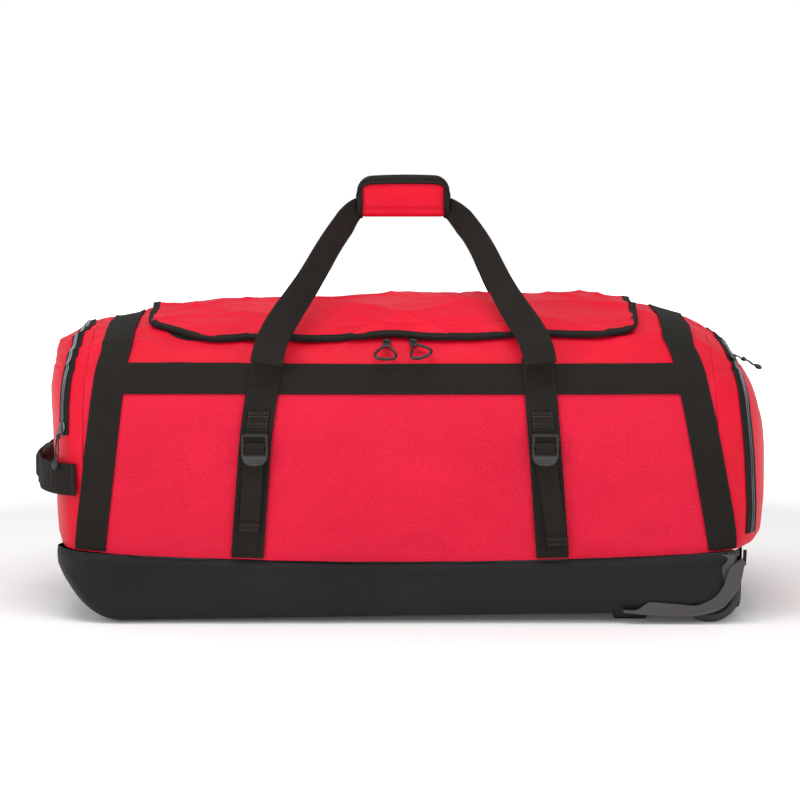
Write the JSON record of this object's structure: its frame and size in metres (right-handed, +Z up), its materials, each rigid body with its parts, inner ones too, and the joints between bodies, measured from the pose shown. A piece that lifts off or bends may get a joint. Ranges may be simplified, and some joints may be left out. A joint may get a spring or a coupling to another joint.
{
  "type": "rolling duffel bag",
  "caption": "Soft rolling duffel bag: fabric body on a stiff base, flap lid over a U zip, webbing harness with a padded carry handle, end pockets, haul handle and wheels at one end.",
  "frame": {"origin": "centre of the overall box in X and Y, on the floor that the feet and wheels stand on", "axes": "+X along the bag towards the wheels, the front panel faces -Y, +Z up"},
  "size_m": [0.9012, 0.423, 0.526],
  "materials": {
    "red_cloth": "woven polyester, matt",
    "webbing": "woven polypropylene webbing",
    "charcoal_cloth": "coated polyester, satin",
    "black_plastic": "moulded acetal",
    "grey_plastic": "moulded polypropylene, fine texture",
    "tyre_rubber": "soft polyurethane",
    "zip_tape": "woven tape with nylon coil",
    "gunmetal": "gunmetal plate on zinc",
    "steel": "plain steel",
    "board": "extruded polyethylene board"
  },
  "bodies": {
    "bag": {"anchor_back_left": "webbing", "anchor_back_right": "webbing", "anchor_front_left": "webbing", "anchor_front_right": "webbing", "axle_back": "steel", "axle_front": "steel", "band_back": "webbing", "band_front": "webbing", "base_board": "board", "base_stay_back": "board", "base_stay_front": "board", "base_tray": "charcoal_cloth", "body_shell": "red_cloth", "hoop_left": "webbing", "hoop_right": "webbing", "housing_back": "grey_plastic", "housing_front": "grey_plastic", "pocket_left": "red_cloth", "pocket_right": "red_cloth", "pocket_zip_left": "zip_tape", "pocket_zip_right": "zip_tape", "rest_foot_back": "black_plastic", "rest_foot_front": "black_plastic", "skid_foot_back": "black_plastic", "skid_foot_front": "black_plastic", "strap_back_left": "webbing", "strap_back_right": "webbing", "strap_front_left": "webbing", "strap_front_right": "webbing", "tail_back_left": "webbing", "tail_back_right": "webbing", "tail_front_left": "webbing", "tail_front_right": "webbing", "zip_tape_body": "zip_tape"},
    "lid": {"lid_panel": "red_cloth", "lid_binding": "webbing", "zip_tape_lid": "zip_tape"},
    "handle_front_body": {"handle_front": "webbing", "wrap_front": "red_cloth"},
    "handle_back_body": {"handle_back": "webbing", "wrap_back": "red_cloth"},
    "wheel_front": {"tyre_front": "tyre_rubber", "hub_front": "black_plastic"},
    "wheel_back": {"tyre_back": "tyre_rubber", "hub_back": "black_plastic"},
    "main_slider_left": {"zip_slider_left": "black_plastic"},
    "main_slider_right": {"zip_slider_right": "black_plastic"},
    "main_pull_left": {"zip_pull_left": "black_plastic"},
    "main_pull_right": {"zip_pull_right": "black_plastic"},
    "side_slider_left": {"pocket_slider_left": "gunmetal"},
    "side_slider_right": {"pocket_slider_right": "gunmetal"},
    "side_pull_left": {"pocket_pull_left": "black_plastic"},
    "side_pull_right": {"pocket_pull_right": "black_plastic"},
    "haul_handle": {"haul_strap": "webbing", "haul_grip": "black_plastic"},
    "ladder_lock_front_left": {"buckle_front_left": "black_plastic"},
    "ladder_lock_front_right": {"buckle_front_right": "black_plastic"},
    "ladder_lock_back_left": {"buckle_back_left": "black_plastic"},
    "ladder_lock_back_right": {"buckle_back_right": "black_plastic"}
  },
  "joints": [
    {"name": "wheel_front_spin", "type": "hinge", "parent": "bag", "child": "wheel_front", "pos_m": [0.368, -0.165, 0.037], "axis": [0, 1, 0], "continuous": true},
    {"name": "wheel_back_spin", "type": "hinge", "parent": "bag", "child": "wheel_back", "pos_m": [0.368, 0.165, 0.037], "axis": [0, 1, 0], "continuous": true},
    {"name": "lid_open", "type": "hinge", "parent": "bag", "child": "lid", "pos_m": [0, 0.132, 0.35187], "axis": [-1, 0, 0], "range_deg": [0, 100]},
    {"name": "handle_front_swing", "type": "hinge", "parent": "bag", "child": "handle_front_body", "pos_m": [0, -0.2045, 0.31], "axis": [1, 0, 0], "range_deg": [0, 170]},
    {"name": "handle_back_swing", "type": "hinge", "parent": "bag", "child": "handle_back_body", "pos_m": [0, 0.2045, 0.31], "axis": [-1, 0, 0], "range_deg": [0, 110]},
    {"name": "main_zip_left_slide", "type": "slide", "parent": "bag", "child": "main_slider_left", "axis": [-0.9999, 0, -0.0141], "range_m": [0, 0.09]},
    {"name": "main_zip_right_slide", "type": "slide", "parent": "bag", "child": "main_slider_right", "axis": [0.9999, 0, 0.0153], "range_m": [0, 0.09]},
    {"name": "main_pull_left_flip", "type": "hinge", "parent": "main_slider_left", "child": "main_pull_left", "pos_m": [-0.01556, -0.15897, 0.3356], "axis": [-1, 0, 0], "range_deg": [0, 100]},
    {"name": "main_pull_right_flip", "type": "hinge", "parent": "main_slider_right", "child": "main_pull_right", "pos_m": [0.01543, -0.15897, 0.33607], "axis": [-1, 0, 0], "range_deg": [0, 100]},
    {"name": "side_zip_left_slide", "type": "slide", "parent": "bag", "child": "side_slider_left", "axis": [0.0348, 0.1103, 0.9933], "range_m": [0, 0.04]},
    {"name": "side_zip_right_slide", "type": "slide", "parent": "bag", "child": "side_slider_right", "axis": [0.1066, -0.8977, -0.4276], "range_m": [0, 0.03]},
    {"name": "side_pull_left_flip", "type": "hinge", "parent": "side_slider_left", "child": "side_pull_left", "pos_m": [-0.40361, -0.1709, 0.23532], "axis": [-0.6817, 0.7308, -0.0341], "range_deg": [0, 80]},
    {"name": "side_pull_right_flip", "type": "hinge", "parent": "side_slider_right", "child": "side_pull_right", "pos_m": [0.41001, -0.09818, 0.31873], "axis": [-0.4212, -0.8936, 0.1551], "range_deg": [0, 60]},
    {"name": "ladder_lock_front_left_tilt", "type": "hinge", "parent": "bag", "child": "ladder_lock_front_left", "pos_m": [-0.16945, -0.20761, 0.228], "axis": [-1, 0, 0], "range_deg": [0, 35]},
    {"name": "ladder_lock_front_right_tilt", "type": "hinge", "parent": "bag", "child": "ladder_lock_front_right", "pos_m": [0.16945, -0.20774, 0.228], "axis": [-1, 0, 0], "range_deg": [0, 35]},
    {"name": "ladder_lock_back_left_tilt", "type": "hinge", "parent": "bag", "child": "ladder_lock_back_left", "pos_m": [-0.16945, 0.20761, 0.228], "axis": [1, 0, 0], "range_deg": [0, 35]},
    {"name": "ladder_lock_back_right_tilt", "type": "hinge", "parent": "bag", "child": "ladder_lock_back_right", "pos_m": [0.16945, 0.20774, 0.228], "axis": [1, 0, 0], "range_deg": [0, 35]},
    {"name": "haul_handle_draw", "type": "slide", "parent": "bag", "child": "haul_handle", "axis": [-1, 0, 0], "range_m": [0, 0.008]}
  ],
  "couplings": [
    {"joint": "handle_front_swing", "follows": "lid_open", "ratio": 1.7},
    {"joint": "handle_back_swing", "follows": "lid_open", "ratio": 1.1}
  ]
}
